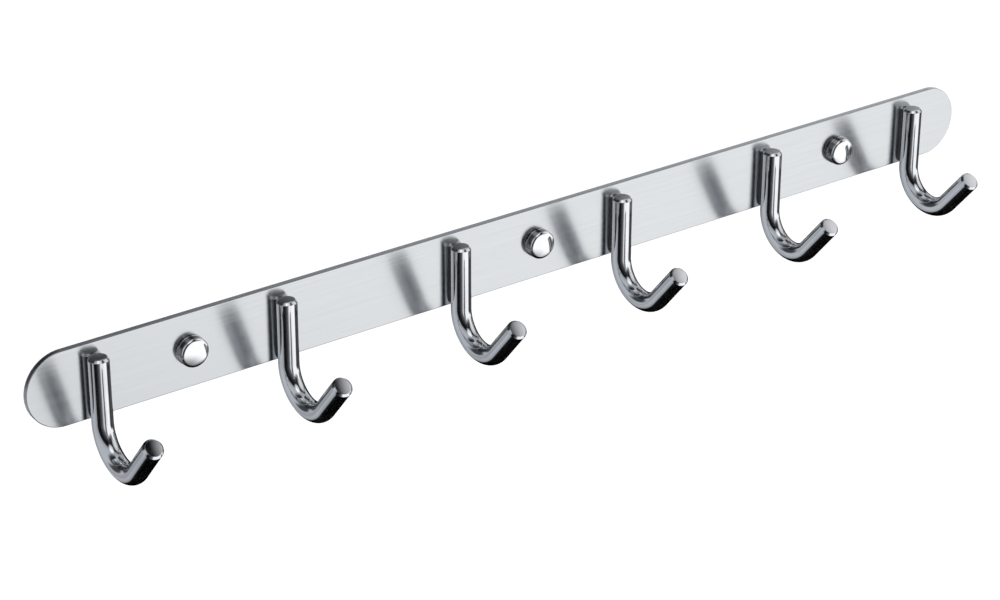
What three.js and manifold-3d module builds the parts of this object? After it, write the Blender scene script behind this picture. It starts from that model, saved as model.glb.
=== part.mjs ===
// Wall hook rack: a brushed steel backplate that carries six round-bar J hooks, with three domed caps
// that screw over the heads of the wall screws.
//
// Units are millimetres. The origin is the centre of the backplate's back face, +X runs along the
// plate, +Z is up, and the hooks point away from the wall along -Y. "Out" below is the distance from
// the wall face towards the room, so out = -y.

import * as THREE from 'three';
import { mergeVertices } from 'three/addons/utils/BufferGeometryUtils.js';
import Module from 'manifold-3d';

const wasm = await Module();
wasm.setup();

// ---------------------------------------------------------------- driving dimensions

const PLATE_LENGTH = 450;
const PLATE_HEIGHT = 30;
const PLATE_THICKNESS = 2.5;
const PLATE_EDGE_BREAK = 0.3;

const HOOK_COUNT = 6;
const HOOK_PITCH = 79;
const BAR_RADIUS = 4;
const BAR_FLAT_DEPTH = 0.5; // depth of the flat that seats the bar on the plate
const BAR_END_CHAMFER = 0.5;
const SHANK_TOP = 10.5; // height of the bar's upper end
const BEND_HEIGHT = -15.5; // height of the bend's centre
const BEND_RADIUS = 14; // to the middle of the bar
const BEND_ANGLE = THREE.MathUtils.degToRad(140);
const TIP_LENGTH = 19; // straight stretch after the bend

const HOOK_SCREW_HEIGHTS = { upper: 5.5, lower: -8.5 };
const HOOK_SCREW_RADIUS = 1.5;
const HOOK_SCREW_LENGTH = 7.9;
const HOOK_SCREW_HEAD_RADIUS = 2.8;

const CAP_PITCH = 2 * HOOK_PITCH;
const CAP_RADIUS = 6;
const CAP_DEPTH = 3.4;
const CAP_SKIRT = 2.1; // straight part of the cap's side
const CAP_WALL = 1.2;

const BASE_FLANGE_DEPTH = 0.8;
const BASE_BOSS_RADIUS = 4.6;
const BASE_BOSS_DEPTH = 2.2;
const BASE_BORE_RADIUS = 2.25;

const WALL_SCREW_RADIUS = 1.9;
const WALL_SCREW_HEAD_RADIUS = 3.6;
const WALL_SCREW_LENGTH = 28;

// Clearances
const SEAT_GAP = 0.25; // between the cap's rim and its base
const SCREW_GAP = 0.25; // round a screw, and under its head
const HEAD_RECESS = 0.15; // a countersunk head sits this far below the surface
const OVERSHOOT = 1; // how far a cutter runs past the surface that it cuts

// Number of sides on round pieces
const BAR_SIDES = 16;
const ROUND_SIDES = 24;
const SMALL_SIDES = 12;
const BEND_STEPS = 12;

// ---------------------------------------------------------------- finishes

const brushedSteel = () => new THREE.MeshStandardMaterial({ color: 0xd3d8dc, roughness: 0.38, metalness: 1 });
const polishedSteel = () => new THREE.MeshStandardMaterial({ color: 0xc9ccd1, roughness: 0.1, metalness: 1 });
const chromedBrass = () => new THREE.MeshStandardMaterial({ color: 0xe2e4e8, roughness: 0.06, metalness: 1 });
const plainSteel = () => new THREE.MeshStandardMaterial({ color: 0xa9acb0, roughness: 0.35, metalness: 1 });

// ---------------------------------------------------------------- solids

function toSolid(geometry) {
  const bare = geometry.clone();
  bare.deleteAttribute('normal');
  bare.deleteAttribute('uv');
  const merged = mergeVertices(bare);
  return new wasm.Manifold(new wasm.Mesh({
    numProp: 3,
    vertProperties: new Float32Array(merged.attributes.position.array),
    triVerts: new Uint32Array(merged.index.array),
  }));
}

function toGeometry(solid) {
  const { vertProperties, triVerts } = solid.getMesh();
  const geometry = new THREE.BufferGeometry();
  geometry.setAttribute('position', new THREE.BufferAttribute(vertProperties, 3));
  geometry.setIndex(new THREE.BufferAttribute(triVerts, 1));
  geometry.computeVertexNormals();
  return geometry;
}

function cut(geometry, cutters) {
  const body = toSolid(geometry);
  const removed = cutters.map(toSolid).reduce((sum, cutter) => sum.add(cutter));
  return toGeometry(body.subtract(removed));
}

// A round piece on the Y axis, from a profile of [radius, out] points in order of rising "out".
function turned(profile, sides = ROUND_SIDES) {
  const points = profile.map(([radius, out]) => new THREE.Vector2(radius, out));
  return new THREE.LatheGeometry(points, sides).rotateX(Math.PI);
}

// A straight round bore on the Y axis, between two distances out from the wall.
function bore(radius, from, to, sides = SMALL_SIDES) {
  return turned([[0, from], [radius, from], [radius, to], [0, to]], sides);
}

// ---------------------------------------------------------------- layout

const hookX = (number) => (number - (HOOK_COUNT + 1) / 2) * HOOK_PITCH;
const capX = (number) => (number - 2) * CAP_PITCH;
const hookNumbers = Array.from({ length: HOOK_COUNT }, (_, i) => i + 1);
const capNumbers = [1, 2, 3];

const BAR_AXIS_OUT = PLATE_THICKNESS + BAR_RADIUS - BAR_FLAT_DEPTH;
const BASE_FACE_OUT = PLATE_THICKNESS + BASE_FLANGE_DEPTH + BASE_BOSS_DEPTH;

// ---------------------------------------------------------------- backplate

function plateOutline() {
  const endRadius = PLATE_HEIGHT / 2;
  const endCentre = PLATE_LENGTH / 2 - endRadius;
  const outline = new THREE.Shape();
  outline.moveTo(-endCentre, -endRadius);
  outline.lineTo(endCentre, -endRadius);
  outline.absarc(endCentre, 0, endRadius, -Math.PI / 2, Math.PI / 2, false);
  outline.lineTo(-endCentre, endRadius);
  outline.absarc(-endCentre, 0, endRadius, Math.PI / 2, 1.5 * Math.PI, false);
  return outline;
}

function wallScrewHole(x) {
  return bore(BASE_BORE_RADIUS, -OVERSHOOT, PLATE_THICKNESS + OVERSHOOT).translate(x, 0, 0);
}

// Clearance hole for a hook screw, countersunk at the back face.
function countersunkHole(x, z) {
  const shaft = HOOK_SCREW_RADIUS + SCREW_GAP;
  const mouth = HOOK_SCREW_HEAD_RADIUS + SCREW_GAP;
  const hole = turned([
    [0, -OVERSHOOT],
    [mouth + OVERSHOOT, -OVERSHOOT],
    [shaft, mouth - shaft],
    [shaft, PLATE_THICKNESS + OVERSHOOT],
    [0, PLATE_THICKNESS + OVERSHOOT],
  ], SMALL_SIDES);
  return hole.translate(x, 0, z);
}

function backplate() {
  const blank = new THREE.ExtrudeGeometry(plateOutline(), {
    depth: PLATE_THICKNESS - 2 * PLATE_EDGE_BREAK,
    curveSegments: 24,
    bevelEnabled: true,
    bevelThickness: PLATE_EDGE_BREAK,
    bevelSize: PLATE_EDGE_BREAK,
    bevelOffset: -PLATE_EDGE_BREAK,
    bevelSegments: 1,
  });
  blank.translate(0, 0, PLATE_EDGE_BREAK);
  blank.rotateX(Math.PI / 2);
  const holes = capNumbers.map((number) => wallScrewHole(capX(number)));
  for (const number of hookNumbers) {
    for (const height of Object.values(HOOK_SCREW_HEIGHTS)) {
      holes.push(countersunkHole(hookX(number), height));
    }
  }
  return cut(blank, holes);
}

// ---------------------------------------------------------------- hooks

// The middle of the bar: down the shank, round the bend, and up the tip, in the plane x = 0.
class HookCentreLine extends THREE.Curve {
  getPoint(t, target = new THREE.Vector3()) {
    const shank = SHANK_TOP - BEND_HEIGHT;
    const bend = BEND_RADIUS * BEND_ANGLE;
    const travel = t * (shank + bend + TIP_LENGTH);
    const bendCentreOut = BAR_AXIS_OUT + BEND_RADIUS;
    if (travel <= shank) {
      return target.set(0, -BAR_AXIS_OUT, SHANK_TOP - travel);
    }
    const angle = Math.min((travel - shank) / BEND_RADIUS, BEND_ANGLE);
    const along = Math.max(travel - shank - bend, 0);
    const out = bendCentreOut - BEND_RADIUS * Math.cos(angle) + along * Math.sin(angle);
    const height = BEND_HEIGHT - BEND_RADIUS * Math.sin(angle) - along * Math.cos(angle);
    return target.set(0, -out, height);
  }
}

// A ring with a triangular section that takes the sharp corner off the end of a bar. The bar's end is
// at the ring's origin and the bar lies along -Y of the ring.
function endChamferCutter() {
  const inner = BAR_RADIUS - BAR_END_CHAMFER;
  const outer = BAR_RADIUS + OVERSHOOT;
  return new THREE.LatheGeometry([
    new THREE.Vector2(inner, 0),
    new THREE.Vector2(outer, inner - outer),
    new THREE.Vector2(outer, OVERSHOOT),
    new THREE.Vector2(inner, OVERSHOOT),
    new THREE.Vector2(inner, 0),
  ], BAR_SIDES);
}

function hook() {
  const centreLine = new HookCentreLine();
  const section = new THREE.Shape();
  const cornerRadius = BAR_RADIUS / Math.cos(Math.PI / BAR_SIDES); // the bar measures true across its flats
  for (let side = 0; side < BAR_SIDES; side += 1) {
    const angle = (2 * Math.PI * side) / BAR_SIDES;
    const corner = [cornerRadius * Math.cos(angle), cornerRadius * Math.sin(angle)];
    if (side === 0) {
      section.moveTo(...corner);
    } else {
      section.lineTo(...corner);
    }
  }
  const bendShare = (BEND_RADIUS * BEND_ANGLE) / centreLine.getLength();
  const bar = new THREE.ExtrudeGeometry(section, {
    steps: Math.round(BEND_STEPS / bendShare),
    extrudePath: centreLine,
  });

  const upperChamfer = endChamferCutter().rotateX(Math.PI / 2).translate(0, -BAR_AXIS_OUT, SHANK_TOP);
  const tipEnd = centreLine.getPoint(1);
  const tipDirection = centreLine.getTangent(1);
  const tipTurn = new THREE.Quaternion().setFromUnitVectors(new THREE.Vector3(0, 1, 0), tipDirection);
  const tipChamfer = endChamferCutter().applyQuaternion(tipTurn).translate(tipEnd.x, tipEnd.y, tipEnd.z);

  // The flat takes everything behind the plate's front face off the bar.
  const flat = new THREE.BoxGeometry(4 * BAR_RADIUS, PLATE_THICKNESS, 10 * BAR_RADIUS);
  flat.translate(0, -PLATE_THICKNESS / 2, 0);

  const holeEnd = HEAD_RECESS + HOOK_SCREW_LENGTH + SCREW_GAP;
  const holes = Object.values(HOOK_SCREW_HEIGHTS).map((height) => (
    bore(HOOK_SCREW_RADIUS + SCREW_GAP, 0, holeEnd).translate(0, 0, height)
  ));
  return cut(bar, [upperChamfer, tipChamfer, flat, ...holes]);
}

// ---------------------------------------------------------------- hook screws

// Countersunk machine screw. Its head faces the wall and it runs out into the bar.
function hookScrew() {
  const headDepth = HOOK_SCREW_HEAD_RADIUS - HOOK_SCREW_RADIUS;
  const rim = 0.1; // short straight rim on the head
  const end = HEAD_RECESS + HOOK_SCREW_LENGTH;
  const point = 0.4;
  const body = turned([
    [0, HEAD_RECESS],
    [HOOK_SCREW_HEAD_RADIUS, HEAD_RECESS],
    [HOOK_SCREW_HEAD_RADIUS, HEAD_RECESS + rim],
    [HOOK_SCREW_RADIUS, HEAD_RECESS + rim + headDepth],
    [HOOK_SCREW_RADIUS, end - point],
    [HOOK_SCREW_RADIUS - point, end],
    [0, end],
  ], SMALL_SIDES);
  const socketRadius = 1.15;
  const socketDepth = 1.1;
  const hexSocket = bore(socketRadius, -OVERSHOOT, HEAD_RECESS + socketDepth, 6);
  return cut(body, [hexSocket]);
}

// ---------------------------------------------------------------- cap, its base and its wall screw

// Flanged ring that the wall screw clamps to the plate. The cap screws over its boss.
function capBase() {
  const flangeOut = PLATE_THICKNESS + BASE_FLANGE_DEPTH;
  const edge = 0.2;
  const seat = WALL_SCREW_HEAD_RADIUS + SCREW_GAP;
  return turned([
    [BASE_BORE_RADIUS, PLATE_THICKNESS],
    [CAP_RADIUS, PLATE_THICKNESS],
    [CAP_RADIUS, flangeOut - edge],
    [CAP_RADIUS - edge, flangeOut],
    [BASE_BOSS_RADIUS, flangeOut],
    [BASE_BOSS_RADIUS, BASE_FACE_OUT - edge],
    [BASE_BOSS_RADIUS - edge, BASE_FACE_OUT],
    [seat, BASE_FACE_OUT],
    [BASE_BORE_RADIUS, BASE_FACE_OUT - (seat - BASE_BORE_RADIUS)],
    [BASE_BORE_RADIUS, PLATE_THICKNESS],
  ]);
}

// Countersunk wood screw. Its head faces the room and its point is in the wall.
function wallScrew() {
  const headOut = BASE_FACE_OUT - HEAD_RECESS;
  const rim = 0.1;
  const neckOut = headOut - rim - (WALL_SCREW_HEAD_RADIUS - WALL_SCREW_RADIUS);
  const tipOut = headOut - WALL_SCREW_LENGTH;
  const pointLength = 4;
  const body = turned([
    [0, tipOut],
    [WALL_SCREW_RADIUS, tipOut + pointLength],
    [WALL_SCREW_RADIUS, neckOut],
    [WALL_SCREW_HEAD_RADIUS, headOut - rim],
    [WALL_SCREW_HEAD_RADIUS, headOut],
    [0, headOut],
  ], SMALL_SIDES);
  const slotWidth = 1;
  const slotLength = 3.8;
  const slotDepth = 1.4;
  const slots = [[slotLength, slotWidth], [slotWidth, slotLength]].map(([x, z]) => (
    new THREE.BoxGeometry(x, 2 * slotDepth, z).translate(0, -headOut, 0)
  ));
  return cut(body, slots);
}

// Hollow cap with a rounded shoulder and a low dome.
function cap() {
  const rimOut = PLATE_THICKNESS + BASE_FLANGE_DEPTH + SEAT_GAP;
  const faceOut = rimOut + CAP_DEPTH;
  const innerRadius = CAP_RADIUS - CAP_WALL;
  const innerOut = BASE_FACE_OUT + SEAT_GAP;
  const shoulderRadius = 0.8;
  const edge = 0.2;
  const shoulderOut = rimOut + CAP_SKIRT;
  const domeEdge = CAP_RADIUS - shoulderRadius;
  const domeStart = shoulderOut + shoulderRadius;
  const shoulder = [0, 1, 2, 3].map((step) => {
    const angle = (step / 3) * (Math.PI / 2);
    return [domeEdge + shoulderRadius * Math.cos(angle), shoulderOut + shoulderRadius * Math.sin(angle)];
  });
  const dome = [1, 2, 3].map((step) => {
    const share = 1 - step / 3;
    return [domeEdge * share, domeStart + (faceOut - domeStart) * (1 - share * share)];
  });
  return turned([
    [0, innerOut],
    [innerRadius, innerOut],
    [innerRadius, rimOut],
    [CAP_RADIUS - edge, rimOut],
    [CAP_RADIUS, rimOut + edge],
    ...shoulder,
    ...dome,
  ]);
}

// ---------------------------------------------------------------- assembly

const rack = new THREE.Group();

function place(name, geometry, material, x = 0, z = 0) {
  const mesh = new THREE.Mesh(geometry, material);
  mesh.name = name;
  mesh.position.set(x, 0, z);
  rack.add(mesh);
}

place('back_plate', backplate(), brushedSteel());

for (const number of hookNumbers) {
  place(`hook_${number}`, hook(), polishedSteel(), hookX(number));
  for (const [side, height] of Object.entries(HOOK_SCREW_HEIGHTS)) {
    place(`hook_screw_${number}_${side}`, hookScrew(), plainSteel(), hookX(number), height);
  }
}

for (const number of capNumbers) {
  place(`cap_base_${number}`, capBase(), chromedBrass(), capX(number));
  place(`wall_screw_${number}`, wallScrew(), plainSteel(), capX(number));
  place(`cap_${number}`, cap(), chromedBrass(), capX(number));
}

export default rack;
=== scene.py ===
"""Wall hook rack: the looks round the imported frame.

Units are metres and +Z is up. The plate's back face lies in the plane y = 0, +X runs along the plate
and the hooks point along -Y. "Out" is the distance from that back face towards the room, so out = -y.
"""

import math

import bmesh
import bpy
from mathutils import Matrix, Vector


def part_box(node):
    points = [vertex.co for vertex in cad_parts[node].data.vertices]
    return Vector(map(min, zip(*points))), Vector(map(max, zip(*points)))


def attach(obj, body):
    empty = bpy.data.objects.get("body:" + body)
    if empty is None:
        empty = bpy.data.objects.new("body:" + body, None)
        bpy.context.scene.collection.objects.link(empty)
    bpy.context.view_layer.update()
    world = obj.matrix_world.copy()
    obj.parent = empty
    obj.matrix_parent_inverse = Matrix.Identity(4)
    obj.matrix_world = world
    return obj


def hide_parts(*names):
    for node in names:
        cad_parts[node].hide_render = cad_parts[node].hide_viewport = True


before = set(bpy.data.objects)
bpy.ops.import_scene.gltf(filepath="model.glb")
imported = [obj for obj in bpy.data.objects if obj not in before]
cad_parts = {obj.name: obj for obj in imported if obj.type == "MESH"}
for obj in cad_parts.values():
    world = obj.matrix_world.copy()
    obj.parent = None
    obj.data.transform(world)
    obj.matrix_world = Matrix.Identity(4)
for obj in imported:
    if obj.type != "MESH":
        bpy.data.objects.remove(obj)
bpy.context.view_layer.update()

MM = 0.001
TINY = 1e-7
FULL_TURN = 2 * math.pi

# ---------------------------------------------------------------- dimensions

PLATE_LOW, PLATE_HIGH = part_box("back_plate")
PLATE_FRONT = -PLATE_LOW.y
PLATE_EDGE_RADIUS = 0.35 * MM

HOOK_NUMBERS = range(1, 7)
HOOK_SCREW_SIDES = ("upper", "lower")
SHANK_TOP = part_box("hook_1")[1].z
BAR_RADIUS = 4 * MM
BAR_FLAT_DEPTH = 0.5 * MM
BAR_AXIS_OUT = PLATE_FRONT + BAR_RADIUS - BAR_FLAT_DEPTH
BAR_CHAMFER = 0.8 * MM
BAR_CHAMFER_FILLET = 0.12 * MM
BAR_END_DOME = 0.12 * MM
BEND_RADIUS = 14 * MM
BEND_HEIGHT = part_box("hook_1")[0].z + BEND_RADIUS + BAR_RADIUS
BEND_ANGLE = math.radians(140)
TIP_LENGTH = 19 * MM

CAP_NUMBERS = (1, 2, 3)
CAP_RADIUS = 6 * MM
CAP_RIM_OUT = -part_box("cap_1")[1].y
CAP_FACE_OUT = -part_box("cap_1")[0].y
CAP_SHOULDER = 1.3 * MM
CAP_DOME_RISE = 0.6 * MM
CAP_DRAFT = 0.25 * MM
CAP_BORE = 4.85 * MM
CAP_THREAD = {"pitch": 0.7 * MM, "depth": 0.2 * MM}

BASE_FACE_OUT = -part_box("cap_base_1")[0].y
BASE_FLANGE_OUT = PLATE_FRONT + 0.8 * MM
BASE_BOSS_RADIUS = 4.6 * MM
BASE_BORE = 2.25 * MM
BASE_THREAD = {"pitch": 0.7 * MM, "depth": 0.28 * MM}

WALL_SCREW_HEAD_OUT = -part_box("wall_screw_1")[0].y
WALL_SCREW_TIP_OUT = -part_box("wall_screw_1")[1].y
WALL_SCREW_HEAD_RADIUS = 3.55 * MM
WALL_SCREW_RADIUS = 1.85 * MM
WALL_SCREW_CORE = 1.25 * MM
WALL_SCREW_PITCH = 1.9 * MM
WALL_SCREW_RIDGE_SHARPNESS = 3.2
WALL_SCREW_POINT = 5 * MM
WALL_SCREW_PLAIN_SHANK = 3.5 * MM

HOOK_SCREW_HEAD_OUT = -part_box("hook_screw_1_upper")[1].y
HOOK_SCREW_END_OUT = -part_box("hook_screw_1_upper")[0].y
HOOK_SCREW_HEAD_RADIUS = 2.75 * MM
HOOK_SCREW_RADIUS = 1.45 * MM
HOOK_SCREW_PITCH = 0.5 * MM
HOOK_SCREW_THREAD_DEPTH = 0.22 * MM
HOOK_SCREW_HOLE = 1.75 * MM
HOOK_SCREW_MOUTH = 3.05 * MM
HEX_SOCKET_RADIUS = 1.15 * MM
HEX_SOCKET_DEPTH = 1.1 * MM

SIDES = 96
BAR_SIDES = 72
SCREW_SIDES = 40
ARC_STEPS = 6
DOME_STEPS = 20
HOOK_SCREW_TURN_STEPS = 8
CAP_TURN_STEPS = 10
WALL_SCREW_TURN_STEPS = 14


def middle(node):
    low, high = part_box(node)
    return (low + high) / 2


# ---------------------------------------------------------------- mesh tools


def to_mesh(name, bm):
    bmesh.ops.recalc_face_normals(bm, faces=bm.faces)
    mesh = bpy.data.meshes.new(name)
    bm.to_mesh(mesh)
    bm.free()
    return mesh


def rounded(corners):
    """Points of a profile from (radius, out, fillet) corners, with an arc where there is a fillet."""
    points = []
    for index, (radius, out, fillet) in enumerate(corners):
        here = Vector((radius, out))
        if fillet == 0:
            points.append(here)
            continue
        back = (Vector(corners[index - 1][:2]) - here).normalized()
        ahead = (Vector(corners[(index + 1) % len(corners)][:2]) - here).normalized()
        half = back.angle(ahead) / 2
        centre = here + (back + ahead).normalized() * (fillet / math.sin(half))
        first = here + back * (fillet / math.tan(half)) - centre
        last = here + ahead * (fillet / math.tan(half)) - centre
        sweep = -first.angle_signed(last)
        for step in range(ARC_STEPS + 1):
            turn = Matrix.Rotation(sweep * step / ARC_STEPS, 2)
            points.append(centre + turn @ first)
    return [(point.x, point.y) for point in points]


def stretch(radius, start, end, step):
    """Points along a straight round stretch, close enough together for a thread."""
    count = max(2, round(abs(end - start) / step))
    return [(radius, start + (end - start) * i / count) for i in range(count + 1)]


def bridge(bm, ring, following):
    """Faces between two rings of vertices. A ring of one vertex is a point on the axis."""
    sides = max(len(ring), len(following))
    for side in range(sides):
        after = side + 1
        corners = [
            ring[side % len(ring)],
            ring[after % len(ring)],
            following[after % len(following)],
            following[side % len(following)],
        ]
        corners = list(dict.fromkeys(corners))
        if len(corners) > 2:
            bm.faces.new(corners)


def round_ring(bm, radius, out, sides):
    """Vertices evenly round the Y axis. On the axis itself there is a single one."""
    count = 1 if radius < TINY else sides
    angles = [FULL_TURN * side / count for side in range(count)]
    return [bm.verts.new((radius * math.cos(angle), -out, radius * math.sin(angle))) for angle in angles]


def turned(name, profile, sides=SIDES, closed=False):
    """A piece turned on the Y axis from (radius, out) points. A closed profile is a ring's section."""
    bm = bmesh.new()
    rings = [round_ring(bm, radius, out, sides) for radius, out in profile]
    followers = rings[1:] + rings[:1] if closed else rings[1:]
    for ring, following in zip(rings, followers):
        bridge(bm, ring, following)
    return to_mesh(name, bm)


def cut_thread(mesh, radius, start, end, pitch, depth):
    """Turns the round stretch of this radius into a single-start thread. A negative depth cuts outwards."""
    tolerance = 0.01 * MM
    for vertex in mesh.vertices:
        out = -vertex.co.y
        distance = math.hypot(vertex.co.x, vertex.co.z)
        if abs(distance - radius) > tolerance or not start <= out <= end:
            continue
        turn = (out / pitch + math.atan2(vertex.co.z, vertex.co.x) / FULL_TURN) % 1
        groove = 1 - abs(2 * turn - 1)
        fade = min(1, (out - start) / pitch, (end - out) / pitch)
        scale = (distance - depth * groove * fade) / distance
        vertex.co.x *= scale
        vertex.co.z *= scale
    return mesh


def joined(name, meshes):
    """One mesh that holds separate closed bodies."""
    bm = bmesh.new()
    for mesh in meshes:
        bm.from_mesh(mesh)
    return to_mesh(name, bm)


def moved(mesh, x=0, y=0, z=0):
    copy = mesh.copy()
    copy.transform(Matrix.Translation((x, y, z)))
    return copy


def cut(mesh, cutter):
    """The mesh with the cutter's volume taken out of it."""
    scene = bpy.context.scene
    body = bpy.data.objects.new("cut_body", mesh)
    tool = bpy.data.objects.new("cut_tool", cutter)
    scene.collection.objects.link(body)
    scene.collection.objects.link(tool)
    modifier = body.modifiers.new("cut", "BOOLEAN")
    modifier.operation = "DIFFERENCE"
    modifier.solver = "EXACT"
    modifier.object = tool
    depsgraph = bpy.context.evaluated_depsgraph_get()
    result = bpy.data.meshes.new_from_object(body.evaluated_get(depsgraph))
    bpy.data.objects.remove(body)
    bpy.data.objects.remove(tool)
    return result


# ---------------------------------------------------------------- backplate


def stadium(length, height, inset, out, end_steps=48):
    """Points round the plate's outline, pulled in by an inset, at a distance out."""
    radius = height / 2
    centre = length / 2 - radius
    points = []
    for side in (1, -1):
        for step in range(end_steps + 1):
            angle = side * math.pi / 2 * (2 * step / end_steps - 1)
            x = side * (centre + (radius - inset) * math.cos(angle))
            points.append((x, -out, side * (radius - inset) * math.sin(side * angle)))
    return points


def plate_blank():
    """The flat bar with half-round ends and rounded edges."""
    length = PLATE_HIGH.x - PLATE_LOW.x
    height = PLATE_HIGH.z - PLATE_LOW.z
    quarter = [math.pi / 2 * step / ARC_STEPS for step in range(ARC_STEPS + 1)]
    edge = [
        (PLATE_EDGE_RADIUS * (1 - math.sin(angle)), PLATE_EDGE_RADIUS * (1 - math.cos(angle)))
        for angle in quarter
    ]
    sections = edge + [(inset, PLATE_FRONT - out) for inset, out in reversed(edge)]
    bm = bmesh.new()
    rings = []
    for inset, out in sections:
        outline = stadium(length, height, inset, out)
        rings.append([bm.verts.new(point) for point in outline])
    for ring, following in zip(rings, rings[1:]):
        bridge(bm, ring, following)
    bm.faces.new(rings[0])
    bm.faces.new(rings[-1])
    return to_mesh("plate_blank", bm)


def back_plate_mesh():
    """The blank with three holes for wall screws, and two countersunk holes behind each hook."""
    past = 1 * MM
    edge_break = 0.15 * MM
    wall_hole = turned("wall_hole", [
        (0, -past),
        (BASE_BORE + edge_break + past, -past),
        (BASE_BORE, edge_break),
        (BASE_BORE, PLATE_FRONT - edge_break),
        (BASE_BORE + edge_break + past, PLATE_FRONT + past),
        (0, PLATE_FRONT + past),
    ])
    hook_hole = turned("hook_hole", [
        (0, -past),
        (HOOK_SCREW_MOUTH + past, -past),
        (HOOK_SCREW_HOLE, HOOK_SCREW_MOUTH - HOOK_SCREW_HOLE),
        (HOOK_SCREW_HOLE, PLATE_FRONT + past),
        (0, PLATE_FRONT + past),
    ])
    holes = [moved(wall_hole, x=middle(f"wall_screw_{number}").x) for number in CAP_NUMBERS]
    for number in HOOK_NUMBERS:
        for side in HOOK_SCREW_SIDES:
            spot = middle(f"hook_screw_{number}_{side}")
            holes.append(moved(hook_hole, x=spot.x, z=spot.z))
    return cut(plate_blank(), joined("plate_holes", holes))


# ---------------------------------------------------------------- hooks


def bar_stations():
    """Distances along the bar's middle, with the radius at each: closer at the chamfered ends."""
    shank = SHANK_TOP - BEND_HEIGHT
    length = shank + BEND_RADIUS * BEND_ANGLE + TIP_LENGTH
    face_radius = BAR_RADIUS - BAR_CHAMFER
    straight_start = 4 * BAR_CHAMFER
    station_gap = 0.5 * MM
    dome_steps = 8
    dome = [
        (face_radius * step / dome_steps, BAR_END_DOME * (step / dome_steps) ** 2)
        for step in range(dome_steps)
    ]
    end = dome + rounded([
        (*dome[-1], 0),
        (face_radius, BAR_END_DOME, BAR_CHAMFER_FILLET),
        (BAR_RADIUS, BAR_CHAMFER + BAR_END_DOME, BAR_CHAMFER_FILLET),
        (BAR_RADIUS, straight_start, 0),
    ])[1:]
    body = stretch(BAR_RADIUS, straight_start, length - straight_start, station_gap)
    tail = [(radius, length - travel) for radius, travel in reversed(end)]
    return [(travel, radius) for radius, travel in end[:-1] + body + tail[1:]]


def bar_place(travel):
    """The point on the bar's middle after this travel from its top, and the way the bar runs there."""
    shank = SHANK_TOP - BEND_HEIGHT
    bend = BEND_RADIUS * BEND_ANGLE
    angle = min(max((travel - shank) / BEND_RADIUS, 0), BEND_ANGLE)
    before = min(travel, shank)
    beyond = max(travel - shank - bend, 0)
    out = BAR_AXIS_OUT + BEND_RADIUS * (1 - math.cos(angle)) + beyond * math.sin(angle)
    height = SHANK_TOP - before - BEND_RADIUS * math.sin(angle) - beyond * math.cos(angle)
    return Vector((0, -out, height)), Vector((0, -math.sin(angle), -math.cos(angle)))


def hook_mesh():
    """Round bar bent to a J, with chamfered ends and a flat where it sits on the plate."""
    bm = bmesh.new()
    rings = []
    for travel, radius in bar_stations():
        point, along = bar_place(travel)
        across = Vector((1, 0, 0))
        normal = along.cross(across)
        if radius < TINY:
            rings.append([bm.verts.new(point)])
            continue
        ring = []
        for side in range(BAR_SIDES):
            angle = FULL_TURN * side / BAR_SIDES
            corner = point + radius * (math.cos(angle) * across + math.sin(angle) * normal)
            corner.y = min(corner.y, -PLATE_FRONT)
            ring.append(bm.verts.new(corner))
        rings.append(ring)
    for ring, following in zip(rings, rings[1:]):
        bridge(bm, ring, following)
    return to_mesh("hook", bm)


# ---------------------------------------------------------------- hook screws


def hook_screw_mesh():
    """Countersunk machine screw with a hex socket. Its head faces the wall."""
    head = HOOK_SCREW_HEAD_OUT
    end = HOOK_SCREW_END_OUT
    rim = 0.1 * MM
    fillet = 0.06 * MM
    point = 0.4 * MM
    past = 1 * MM
    drill_cone = 0.3 * MM
    neck = head + rim + HOOK_SCREW_HEAD_RADIUS - HOOK_SCREW_RADIUS
    profile = rounded([
        (0, head, 0),
        (HOOK_SCREW_HEAD_RADIUS, head, fillet),
        (HOOK_SCREW_HEAD_RADIUS, head + 2 * rim, fillet),
        (HOOK_SCREW_RADIUS, neck + rim, 0),
    ])
    step = HOOK_SCREW_PITCH / HOOK_SCREW_TURN_STEPS
    profile += stretch(HOOK_SCREW_RADIUS, neck + 1.5 * rim, end - point, step)
    profile += [(HOOK_SCREW_RADIUS - point, end), (0, end)]
    body = turned("hook_screw", profile, SCREW_SIDES)
    cut_thread(body, HOOK_SCREW_RADIUS, neck + rim, end - point, HOOK_SCREW_PITCH, HOOK_SCREW_THREAD_DEPTH)
    socket = turned("hex_socket", [
        (0, head - past),
        (HEX_SOCKET_RADIUS, head - past),
        (HEX_SOCKET_RADIUS, head + HEX_SOCKET_DEPTH),
        (0, head + HEX_SOCKET_DEPTH + drill_cone),
    ], sides=6)
    return cut(body, socket)


# ---------------------------------------------------------------- caps, their bases and wall screws


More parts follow.
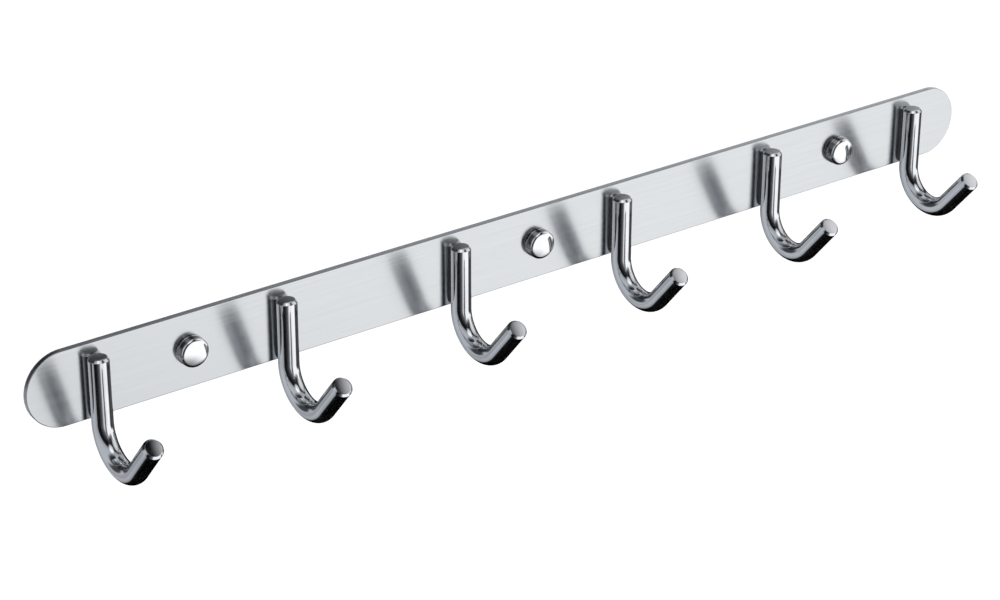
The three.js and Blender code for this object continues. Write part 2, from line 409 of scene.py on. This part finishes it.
def cap_mesh():
    """Hollow cap with a rounded shoulder, a low dome and a thread inside."""
    rim = CAP_RIM_OUT
    rim_width = 0.6 * MM
    rim_fillet = 0.15 * MM
    roof = BASE_FACE_OUT + 0.25 * MM
    roof_relief = 0.3 * MM
    mouth = rim + 0.25 * MM
    mouth_flare = 0.2 * MM
    shoulder_top = CAP_FACE_OUT - CAP_DOME_RISE
    # The last corner of the outside only sets the slope at which the shoulder runs into the dome.
    slope_in = 1.85 * CAP_SHOULDER
    slope_rise = 0.25 * CAP_SHOULDER
    outside = rounded([
        (CAP_RADIUS - rim_width, rim, 0),
        (CAP_RADIUS, rim, rim_fillet),
        (CAP_RADIUS - CAP_DRAFT, shoulder_top, CAP_SHOULDER),
        (CAP_RADIUS - CAP_DRAFT - slope_in, shoulder_top + slope_rise, 0),
    ])[:-1]
    dome_radius, dome_start = outside[-1]
    dome = []
    for step in range(1, DOME_STEPS + 1):
        share = 1 - step / DOME_STEPS
        rise = (CAP_FACE_OUT - dome_start) * (1 - share * share)
        dome.append((dome_radius * share, dome_start + rise))
    bore = stretch(CAP_BORE, roof, mouth, CAP_THREAD["pitch"] / CAP_TURN_STEPS)
    inside = [(0, roof), (CAP_BORE - roof_relief, roof)] + bore + [(CAP_BORE + mouth_flare, rim)]
    mesh = turned("cap", inside + outside + dome)
    return cut_thread(mesh, CAP_BORE, mouth, roof, CAP_THREAD["pitch"], -CAP_THREAD["depth"])


def cap_base_mesh():
    """Flanged ring with a thread on its boss and a countersink for the wall screw's head."""
    edge = 0.12 * MM
    boss_bevel = 0.25 * MM
    root = BASE_BOSS_RADIUS - 0.2 * MM
    seat = WALL_SCREW_HEAD_RADIUS + 0.3 * MM
    boss_start = BASE_FLANGE_OUT + 0.1 * MM
    boss_end = BASE_FACE_OUT - boss_bevel
    flange = rounded([
        (BASE_BORE, PLATE_FRONT, 0),
        (CAP_RADIUS, PLATE_FRONT, 0),
        (CAP_RADIUS, BASE_FLANGE_OUT, 2 * edge),
        (root, BASE_FLANGE_OUT, edge),
        (root, boss_start + edge, 0),
    ])
    step = BASE_THREAD["pitch"] / CAP_TURN_STEPS
    boss = stretch(BASE_BOSS_RADIUS, boss_start + 1.5 * edge, boss_end, step)
    face = [
        (BASE_BOSS_RADIUS - boss_bevel, BASE_FACE_OUT),
        (seat + edge, BASE_FACE_OUT),
        (seat, BASE_FACE_OUT - edge),
        (BASE_BORE, BASE_FACE_OUT - edge - (seat - BASE_BORE)),
    ]
    mesh = turned("cap_base", flange + boss + face, closed=True)
    return cut_thread(
        mesh, BASE_BOSS_RADIUS, boss_start, boss_end, BASE_THREAD["pitch"], BASE_THREAD["depth"]
    )


def wood_screw_radius(out, angle):
    """Radius of the threaded stretch: a core with a sharp ridge wound round it, tapering to the point."""
    turn = (out / WALL_SCREW_PITCH + angle / FULL_TURN) % 1
    ridge = max(0, 1 - abs(2 * turn - 1) * WALL_SCREW_RIDGE_SHARPNESS)
    taper = min(1, (out - WALL_SCREW_TIP_OUT) / WALL_SCREW_POINT)
    core = WALL_SCREW_CORE * taper
    return core + (WALL_SCREW_RADIUS - WALL_SCREW_CORE) * ridge * min(1, 2 * taper)


def wall_screw_mesh():
    """Countersunk wood screw with a cross recess. Its head faces the room and its point is in the wall."""
    head = WALL_SCREW_HEAD_OUT
    rim = 0.12 * MM
    rim_fillet = 0.05 * MM
    neck = head - rim - (WALL_SCREW_HEAD_RADIUS - WALL_SCREW_RADIUS)
    neck_fillet = 0.3 * MM
    plain_radius = 1.5 * MM
    run_out = 0.4 * MM
    thread_start = neck - WALL_SCREW_PLAIN_SHANK
    thread_length = thread_start - WALL_SCREW_TIP_OUT
    steps = round(thread_length / (WALL_SCREW_PITCH / WALL_SCREW_TURN_STEPS))
    bm = bmesh.new()
    rings = [round_ring(bm, 0, WALL_SCREW_TIP_OUT, SCREW_SIDES)]
    for step in range(1, steps + 1):
        out = WALL_SCREW_TIP_OUT + thread_length * step / steps
        ring = []
        for side in range(SCREW_SIDES):
            angle = FULL_TURN * side / SCREW_SIDES
            radius = wood_screw_radius(out, angle)
            ring.append(bm.verts.new((radius * math.cos(angle), -out, radius * math.sin(angle))))
        rings.append(ring)
    shank_and_head = rounded([
        (plain_radius, thread_start + run_out, 0),
        (plain_radius, neck - neck_fillet, neck_fillet),
        (WALL_SCREW_HEAD_RADIUS, head - rim, rim_fillet),
        (WALL_SCREW_HEAD_RADIUS, head, rim_fillet),
        (0, head, 0),
    ])
    rings += [round_ring(bm, radius, out, SCREW_SIDES) for radius, out in shank_and_head]
    for ring, following in zip(rings, rings[1:]):
        bridge(bm, ring, following)
    screw = to_mesh("wall_screw", bm)
    for wedge in cross_recess(head):
        screw = cut(screw, wedge)
    return screw


def cross_recess(head):
    """Two crossed wedges that narrow with depth, and a pit between them."""
    wings = []
    past = 0.5 * MM
    depth = 1.7 * MM
    mouth = {"length": 4.2 * MM, "width": 1.0 * MM}
    bottom = {"length": 1.6 * MM, "width": 0.55 * MM}
    for turn in (0, math.pi / 2):
        bm = bmesh.new()
        bmesh.ops.create_cube(bm, size=1)
        for vertex in bm.verts:
            deep = vertex.co.y > 0
            section = bottom if deep else mouth
            vertex.co.x *= section["length"]
            vertex.co.z *= section["width"]
            vertex.co.y = -head + depth if deep else -head - past
        bmesh.ops.rotate(bm, cent=(0, 0, 0), matrix=Matrix.Rotation(turn, 3, "Y"), verts=bm.verts)
        wings.append(to_mesh("recess_wing", bm))
    pit_bottom_radius = 0.6 * MM
    pit_mouth_radius = 1.05 * MM
    pit_cone = 0.3 * MM
    pit_past = 1 * MM
    pit = turned("recess_pit", [
        (0, head - depth),
        (pit_bottom_radius, head - depth + pit_cone),
        (pit_mouth_radius, head + pit_past),
        (0, head + pit_past),
    ], SCREW_SIDES)
    return wings + [pit]


# ---------------------------------------------------------------- materials


def new_material(name):
    material = bpy.data.materials.new(name)
    material.use_nodes = True
    tree = material.node_tree
    return material, tree, tree.nodes["Principled BSDF"]


def node(tree, kind, inputs=None, **settings):
    """A new node with its settings, and its inputs as values or as links from other nodes' outputs."""
    made = tree.nodes.new(kind)
    for name, value in settings.items():
        setattr(made, name, value)
    for name, value in (inputs or {}).items():
        if isinstance(value, bpy.types.NodeSocket):
            tree.links.new(value, made.inputs[name])
        else:
            made.inputs[name].default_value = value
    return made


def grain(tree, scale, detail=4, roughness=0.6, distortion=0):
    """Noise in the piece's own space, stretched by a scale per axis in features per metre."""
    position = node(tree, "ShaderNodeTexCoord").outputs["Object"]
    mapped = node(tree, "ShaderNodeMapping", {"Vector": position, "Scale": scale}).outputs["Vector"]
    noise = node(tree, "ShaderNodeTexNoise", {
        "Vector": mapped, "Scale": 1, "Detail": detail, "Roughness": roughness, "Distortion": distortion,
    })
    return noise.outputs["Fac"]


def spread(tree, value, low, high, from_low=0.3, from_high=0.7):
    """Maps a value from one range to another. Noise mostly lies between 0.3 and 0.7."""
    return node(tree, "ShaderNodeMapRange", {
        "Value": value, "From Min": from_low, "From Max": from_high, "To Min": low, "To Max": high,
    }).outputs["Result"]


MIX_COLOUR_INPUTS = (6, 7)
MIX_COLOUR_OUTPUT = 2


def blend_colours(tree, factor, first, second):
    """The first colour where the factor is 0, the second where it is 1."""
    mix = node(tree, "ShaderNodeMix", {"Factor": factor}, data_type="RGBA")
    for index, colour in zip(MIX_COLOUR_INPUTS, (first, second)):
        if isinstance(colour, bpy.types.NodeSocket):
            tree.links.new(colour, mix.inputs[index])
        else:
            mix.inputs[index].default_value = (*colour, 1)
    return mix.outputs[MIX_COLOUR_OUTPUT]


def calculate(tree, operation, first, second):
    maths = node(tree, "ShaderNodeMath", operation=operation)
    for socket, value in zip(maths.inputs, (first, second)):
        if isinstance(value, bpy.types.NodeSocket):
            tree.links.new(value, socket)
        else:
            socket.default_value = value
    return maths.outputs["Value"]


def bumped(tree, height, strength, distance, under=None):
    """A normal with a height worked into it, over another such normal if there is one."""
    inputs = {"Height": height, "Strength": strength, "Distance": distance}
    if under is not None:
        inputs["Normal"] = under
    return node(tree, "ShaderNodeBump", inputs).outputs["Normal"]


def make_metal(tree, shader, tone, roughness, normal):
    shader.inputs["Metallic"].default_value = 1
    tree.links.new(tone, shader.inputs["Base Color"])
    tree.links.new(roughness, shader.inputs["Roughness"])
    tree.links.new(normal, shader.inputs["Normal"])


def brushed_steel():
    """Satin steel brushed along X: long hair lines, so that reflections smear up and down."""
    material, tree, shader = new_material("brushed_steel")
    dark_line = (0.595, 0.615, 0.63)
    light_line = (0.67, 0.69, 0.71)
    cloud_tone = (0.64, 0.66, 0.69)
    hair_share = 0.65
    line_range = {"from_low": 0.35, "from_high": 0.65}
    hair = grain(tree, (30, 900, 3200), detail=5, roughness=0.75)
    coarse = grain(tree, (14, 300, 900), detail=3, roughness=0.6)
    cloud = grain(tree, (16, 16, 22), detail=2, roughness=0.5)
    hair_part = calculate(tree, "MULTIPLY", hair, hair_share)
    coarse_part = calculate(tree, "MULTIPLY", coarse, 1 - hair_share)
    lines = calculate(tree, "ADD", hair_part, coarse_part)
    tone = blend_colours(tree, spread(tree, lines, 0, 1, **line_range), dark_line, light_line)
    tone = blend_colours(tree, spread(tree, cloud, 0, 0.25), tone, cloud_tone)
    roughness = spread(tree, lines, 0.17, 0.22, **line_range)
    normal = bumped(tree, lines, strength=0.08, distance=0.01 * MM)
    make_metal(tree, shader, tone, roughness, normal)
    tangent = node(tree, "ShaderNodeTangent", direction_type="RADIAL", axis="X")
    tree.links.new(tangent.outputs["Tangent"], shader.inputs["Tangent"])
    shader.inputs["Anisotropic"].default_value = 0.72
    return material


def plate_edge_painted_dark():
    """The plate's sheared and linished edge, with fine lines round the outline, given a darker tone than its
    face as painted dark reflection.
    """
    material, tree, shader = new_material("plate_edge_painted_dark")
    dark_line = (0.36, 0.37, 0.39)
    light_line = (0.50, 0.51, 0.53)
    patch_tone = (0.43, 0.42, 0.43)
    lines = grain(tree, (60, 5200, 60), detail=4, roughness=0.7)
    patch = grain(tree, (70, 500, 70), detail=3, roughness=0.6)
    tone = blend_colours(tree, spread(tree, lines, 0, 1), dark_line, light_line)
    tone = blend_colours(tree, spread(tree, patch, 0, 0.5), tone, patch_tone)
    normal = bumped(tree, lines, strength=0.3, distance=0.01 * MM)
    make_metal(tree, shader, tone, spread(tree, lines, 0.2, 0.34), normal)
    return material


def polished_steel():
    """Buffed round bar: nearly a mirror, with faint buffing marks and a slight waviness."""
    material, tree, shader = new_material("polished_steel")
    dull_tone = (0.70, 0.715, 0.745)
    clean_tone = (0.80, 0.81, 0.83)
    buff = grain(tree, (2600, 700, 120), detail=4, roughness=0.65)
    smudge = grain(tree, (110, 110, 90), detail=3, roughness=0.6)
    wave = grain(tree, (260, 260, 90), detail=2, roughness=0.4)
    tone = blend_colours(tree, spread(tree, smudge, 0, 1), dull_tone, clean_tone)
    roughness = calculate(tree, "ADD", spread(tree, buff, 0.03, 0.09), spread(tree, smudge, 0, 0.04))
    ripple = bumped(tree, wave, strength=0.3, distance=0.05 * MM)
    normal = bumped(tree, buff, strength=0.12, distance=0.004 * MM, under=ripple)
    make_metal(tree, shader, tone, roughness, normal)
    return material


def chrome(name, dull_tone, clean_tone):
    """Plated brass with a few fine wipe marks."""
    material, tree, shader = new_material(name)
    wipe = grain(tree, (1500, 1500, 260), detail=4, roughness=0.7, distortion=0.4)
    smudge = grain(tree, (240, 240, 240), detail=3, roughness=0.6)
    tone = blend_colours(tree, spread(tree, smudge, 0, 1), dull_tone, clean_tone)
    roughness = calculate(tree, "ADD", spread(tree, wipe, 0.02, 0.06), spread(tree, smudge, 0, 0.04))
    normal = bumped(tree, wipe, strength=0.1, distance=0.003 * MM)
    make_metal(tree, shader, tone, roughness, normal)
    return material


def screw_steel():
    """Zinc-plated fastener: duller, with a mottled tone."""
    material, tree, shader = new_material("screw_steel")
    dark_tone = (0.42, 0.43, 0.45)
    light_tone = (0.62, 0.63, 0.65)
    patch_tone = (0.60, 0.59, 0.56)
    mottle = grain(tree, (900, 900, 900), detail=5, roughness=0.7)
    patch = grain(tree, (220, 220, 220), detail=2, roughness=0.5)
    tone = blend_colours(tree, spread(tree, mottle, 0, 1), dark_tone, light_tone)
    tone = blend_colours(tree, spread(tree, patch, 0, 0.4), tone, patch_tone)
    normal = bumped(tree, mottle, strength=0.2, distance=0.01 * MM)
    make_metal(tree, shader, tone, spread(tree, mottle, 0.22, 0.42), normal)
    return material


# ---------------------------------------------------------------- pieces

SHARP_ANGLE = math.radians(32)
PLATE_EDGE_FACING = 0.6
CAP_WALL_FACING = 0.4


def place(name, mesh, material, body, replaced, x=0, z=0):
    """Puts a piece in its place, where it stands for a CAD node and moves with a body."""
    own = moved(mesh, x=x, z=z)
    own.name = name
    own.materials.clear()
    own.materials.append(material)
    own.shade_smooth()
    own.set_sharp_from_angle(angle=SHARP_ANGLE)
    piece = bpy.data.objects.new(name, own)
    bpy.context.scene.collection.objects.link(piece)
    weighted = piece.modifiers.new("flat_faces_stay_flat", "WEIGHTED_NORMAL")
    weighted.keep_sharp = True
    weighted.weight = 100
    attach(piece, body)
    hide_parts(replaced)
    return piece


def dress_walls(piece, material, facing):
    """Gives a second material to the faces that look sideways, whose normals have less than this along Y."""
    piece.data.materials.append(material)
    for face in piece.data.polygons:
        face.material_index = 1 if abs(face.normal.y) < facing else 0


BRUSHED = brushed_steel()
POLISHED = polished_steel()
CHROME = chrome("chrome", (0.80, 0.81, 0.825), (0.88, 0.885, 0.895))
# The side walls of the caps and their rings get a darker copy of the chrome than the faces: painted dark
# reflection, standing in for the dark surroundings that the sides mirror.
CHROME_PAINTED_DARK_SIDE = chrome("chrome_painted_dark_side", (0.36, 0.365, 0.375), (0.44, 0.445, 0.455))
SCREW = screw_steel()

CAP_BODIES = {1: "cap_left", 2: "cap_middle", 3: "cap_right"}

plate = place("plate_brushed", back_plate_mesh(), BRUSHED, "rack", "back_plate")
# The edge faces get the darker edge material: painted dark reflection.
dress_walls(plate, plate_edge_painted_dark(), PLATE_EDGE_FACING)

hook_shape = hook_mesh()
hook_screw_shape = hook_screw_mesh()
for number in HOOK_NUMBERS:
    hook_x = middle(f"hook_{number}").x
    place(f"hook_bar_{number}", hook_shape, POLISHED, "rack", f"hook_{number}", x=hook_x)
    for side in HOOK_SCREW_SIDES:
        replaced = f"hook_screw_{number}_{side}"
        spot = middle(replaced)
        place(f"machine_screw_{number}_{side}", hook_screw_shape, SCREW, "rack", replaced,
              x=spot.x, z=spot.z)

cap_shape = cap_mesh()
cap_base_shape = cap_base_mesh()
wall_screw_shape = wall_screw_mesh()
for number in CAP_NUMBERS:
    cap_x = middle(f"cap_{number}").x
    cap = place(f"cap_dome_{number}", cap_shape, CHROME, CAP_BODIES[number], f"cap_{number}",
                x=cap_x)
    ring = place(f"cap_ring_{number}", cap_base_shape, CHROME, "rack", f"cap_base_{number}",
                 x=cap_x)
    # The sideways faces of each cap and ring get the darker chrome: painted dark reflection.
    dress_walls(cap, CHROME_PAINTED_DARK_SIDE, CAP_WALL_FACING)
    dress_walls(ring, CHROME_PAINTED_DARK_SIDE, CAP_WALL_FACING)
    place(f"wood_screw_{number}", wall_screw_shape, SCREW, "rack", f"wall_screw_{number}",
          x=cap_x)

# ---------------------------------------------------------------- stage, light and camera

FLOOR_HEIGHT = -1.5
FLOOR_SIZE = 60

CAMERA_AZIMUTH = math.radians(-36.3)
CAMERA_ELEVATION = math.radians(26.1)
CAMERA_ROLL = math.radians(0.15)
CAMERA_DISTANCE = 1.1426
CAMERA_LENS = 104.6
CAMERA_AIM = Vector((-17.8 * MM, -1.9 * MM, -20.4 * MM))


def pale_floor():
    """A plain pale floor far below. Mirrors don't see it and it blocks no light."""
    material, tree, shader = new_material("pale_floor")
    cloud = grain(tree, (3, 3, 3), detail=2)
    tone = blend_colours(tree, spread(tree, cloud, 0, 1), (0.955, 0.955, 0.955), (0.965, 0.965, 0.965))
    tree.links.new(tone, shader.inputs["Base Color"])
    shader.inputs["Roughness"].default_value = 0.9
    shader.inputs["Specular IOR Level"].default_value = 0
    bm = bmesh.new()
    bmesh.ops.create_grid(bm, size=FLOOR_SIZE / 2)
    bmesh.ops.translate(bm, vec=(0, 0, FLOOR_HEIGHT), verts=bm.verts)
    sheet = bpy.data.objects.new("pale_floor", to_mesh("pale_floor", bm))
    sheet.data.materials.append(material)
    sheet.visible_glossy = False
    sheet.visible_shadow = False
    bpy.context.scene.collection.objects.link(sheet)


# The studio is a light tent, as a metal surface sees it. It is brightest towards TENT_OPEN, which the
# plate's face mirrors to the camera; square to that runs a black gap, and the far side is a dim grey.
TENT_OPEN = (0.53, -0.72, -0.44)
TENT_STRENGTH = 1.2
# Each stop is how well a direction agrees with TENT_OPEN, from -1 to 1, and the colour there.
TENT_STOPS = (
    (-1.00, (0.46, 0.48, 0.51)),
    (-0.50, (0.44, 0.46, 0.49)),
    (-0.24, (0.30, 0.32, 0.34)),
    (-0.14, (0.004, 0.004, 0.005)),
    (0.17, (0.004, 0.004, 0.005)),
    (0.42, (0.05, 0.05, 0.055)),
    (0.62, (0.16, 0.165, 0.17)),
    (0.76, (0.95, 0.96, 0.97)),
    (1.00, (1.00, 1.00, 1.00)),
)
# Round patches on the tent, by where they are as seen from the rack. Each has the way to it, its half
# width and soft edge in degrees, and what it multiplies the tent's light by. They are the dark places
# in the mirrored steel.
PATCHES = {
    "below": {"towards": (0.30, 0.05, -0.95), "reach": 40, "soft": 5, "times": 0.01},
    "below_in_front": {"towards": (0.05, -0.50, -0.87), "reach": 24, "soft": 14, "times": 0.1},
    "behind": {"towards": (0.0, 0.88, 0.35), "reach": 28, "soft": 6, "times": 0.05},
    "behind_low": {"towards": (-0.03, 0.97, -0.23), "reach": 14, "soft": 5, "times": 0.12},
    "behind_left": {"towards": (-0.60, 0.80, 0.10), "reach": 16, "soft": 6, "times": 0.1},
    "behind_left_low": {"towards": (-0.42, 0.80, -0.42), "reach": 9, "soft": 6, "times": 0.7},
    "behind_left_high": {"towards": (-0.40, 0.48, 0.78), "reach": 30, "soft": 10, "times": 0.05},
    "behind_right_low": {"towards": (0.53, 0.72, -0.44), "reach": 24, "soft": 6, "times": 0.03},
    "front_right_high": {"towards": (0.53, -0.72, 0.44), "reach": 20, "soft": 8, "times": 0.2},
    "front_right_low": {"towards": (0.82, -0.37, -0.44), "reach": 10, "soft": 4, "times": 0.06},
    "right_low": {"towards": (0.89, -0.09, -0.44), "reach": 11, "soft": 4, "times": 0.10},
}
# Lamps are round patches that add light.
LAMPS = {
    "above": {"towards": (-0.10, -0.42, 0.90), "reach": 15, "soft": 8, "adds": 0.9},
    "right_high": {"towards": (0.80, -0.30, 0.52), "reach": 19, "soft": 14, "adds": 0.8},
    "behind_right": {"towards": (0.76, 0.56, 0.33), "reach": 9, "soft": 8, "adds": 0.45},
}

SOFT_LIGHT_SIZE = 2.0
SOFT_LIGHTS = {
    "key_light": {"position": (1.6, -2.2, 2.4), "power": 60},
    "fill_light": {"position": (-2.4, -1.4, 1.8), "power": 30},
}
PLATE_LIGHTS = {
    "plate_light_left": {"position": (-1.7, -2.25, -1.03), "width": 1.7, "height": 3.4, "brightness": 0.6},
    "plate_light_back": {"position": (1.4, 2.0, -0.65), "width": 6.0, "height": 2.6, "brightness": 0.9},
}
# A plate light shows in the plate, and in the plate as a bar or a cap mirrors it, but not in the plate
# as mirrored by a bar that is itself mirrored in the plate. That keeps each hook's image dark.
PLATE_LIGHT_MIRRORINGS = 2


def agreement(tree, direction, towards):
    """How well a direction agrees with another, from -1 to 1."""
    dot = node(tree, "ShaderNodeVectorMath", operation="DOT_PRODUCT")
    tree.links.new(direction, dot.inputs[0])
    dot.inputs[1].default_value = Vector(towards).normalized()
    return dot.outputs["Value"]


def round_patch(tree, direction, patch, outside, inside):
    """A value that changes from outside to inside over the soft edge of a round patch of the tent."""
    return node(tree, "ShaderNodeMapRange", {
        "Value": agreement(tree, direction, patch["towards"]),
        "From Min": math.cos(math.radians(patch["reach"] + patch["soft"])),
        "From Max": math.cos(math.radians(patch["reach"] - patch["soft"])),
        "To Min": outside,
        "To Max": inside,
    }, interpolation_type="SMOOTHSTEP").outputs["Result"]


def tent(tree, direction):
    """The light tent: bands of colour with darker patches, and the lamps' light on top."""
    ramp = node(tree, "ShaderNodeValToRGB")
    stops = ramp.color_ramp.elements
    while len(stops) < len(TENT_STOPS):
        stops.new(0.5)
    for stop, (agrees, colour) in zip(stops, TENT_STOPS):
        stop.position = (agrees + 1) / 2
        stop.color = (*colour, 1)
    tree.links.new(spread(tree, agreement(tree, direction, TENT_OPEN), 0, 1, -1, 1), ramp.inputs["Fac"])
    strength = TENT_STRENGTH
    for patch in PATCHES.values():
        shade = round_patch(tree, direction, patch, 1, patch["times"])
        strength = calculate(tree, "MULTIPLY", strength, shade)
    bands = node(tree, "ShaderNodeBackground", {"Color": ramp.outputs["Color"], "Strength": strength})
    glow = 0
    for lamp in LAMPS.values():
        glow = calculate(tree, "ADD", glow, round_patch(tree, direction, lamp, 0, lamp["adds"]))
    lamps = node(tree, "ShaderNodeBackground", {"Color": (1, 1, 1, 1), "Strength": glow})
    both = node(tree, "ShaderNodeAddShader")
    tree.links.new(bands.outputs["Background"], both.inputs[0])
    tree.links.new(lamps.outputs["Background"], both.inputs[1])
    return both.outputs["Shader"]


def studio():
    """White surroundings. Metals see the light tent instead."""
    world = bpy.data.worlds.new("studio")
    bpy.context.scene.world = world
    world.use_nodes = True
    tree = world.node_tree
    plain = tree.nodes["Background"]
    plain.inputs["Color"].default_value = (1, 1, 1, 1)
    direction = node(tree, "ShaderNodeTexCoord").outputs["Generated"]
    in_mirrors = node(tree, "ShaderNodeLightPath").outputs["Is Glossy Ray"]
    choice = node(tree, "ShaderNodeMixShader", {"Fac": in_mirrors})
    tree.links.new(plain.outputs["Background"], choice.inputs[1])
    tree.links.new(tent(tree, direction), choice.inputs[2])
    tree.links.new(choice.outputs["Shader"], tree.nodes["World Output"].inputs["Surface"])


def hang(light, position):
    """Puts a light at a position, from where it looks at the rack."""
    lamp = bpy.data.objects.new(light.name, light)
    lamp.location = position
    lamp.rotation_euler = (-Vector(position)).to_track_quat("-Z", "Y").to_euler()
    bpy.context.scene.collection.objects.link(lamp)
    return lamp


def soft_light(name, position, power):
    """A square soft box that doesn't show in mirrors."""
    light = bpy.data.lights.new(name, "AREA")
    light.shape = "SQUARE"
    light.size = SOFT_LIGHT_SIZE
    light.energy = power
    lamp = hang(light, position)
    lamp.visible_glossy = False


def plate_light(name, receivers, position, width, height, brightness):
    """A soft box that only the receivers see, so that they shine from the sides and the back as well."""
    light = bpy.data.lights.new(name, "AREA")
    light.shape = "RECTANGLE"
    light.size = width
    light.size_y = height
    # In proportion to the area, so that the brightness doesn't depend on the size.
    light.energy = math.pi * width * height
    light.use_nodes = True
    tree = light.node_tree
    mirrorings = node(tree, "ShaderNodeLightPath").outputs["Glossy Depth"]
    shown = calculate(tree, "LESS_THAN", mirrorings, PLATE_LIGHT_MIRRORINGS + 0.5)
    strength = calculate(tree, "MULTIPLY", shown, brightness)
    tree.links.new(strength, tree.nodes["Emission"].inputs["Strength"])
    lamp = hang(light, position)
    lamp.visible_camera = False
    lamp.light_linking.receiver_collection = receivers


def camera():
    data = bpy.data.cameras.new("camera")
    data.lens = CAMERA_LENS
    data.sensor_width = 36
    data.clip_start = 0.01
    data.clip_end = 200
    body = bpy.data.objects.new("camera", data)
    turn = (
        Matrix.Rotation(CAMERA_AZIMUTH, 4, "Z")
        @ Matrix.Rotation(math.pi / 2 - CAMERA_ELEVATION, 4, "X")
        @ Matrix.Rotation(CAMERA_ROLL, 4, "Z")
    )
    body.matrix_world = Matrix.Translation(CAMERA_AIM) @ turn @ Matrix.Translation((0, 0, CAMERA_DISTANCE))
    bpy.context.scene.collection.objects.link(body)
    bpy.context.scene.camera = body


pale_floor()
studio()
for name, settings in SOFT_LIGHTS.items():
    soft_light(name, **settings)
plate_only = bpy.data.collections.new("plate_only")
plate_only.objects.link(plate)
for name, settings in PLATE_LIGHTS.items():
    plate_light(name, plate_only, **settings)
camera()
bpy.context.scene.view_settings.view_transform = "Standard"
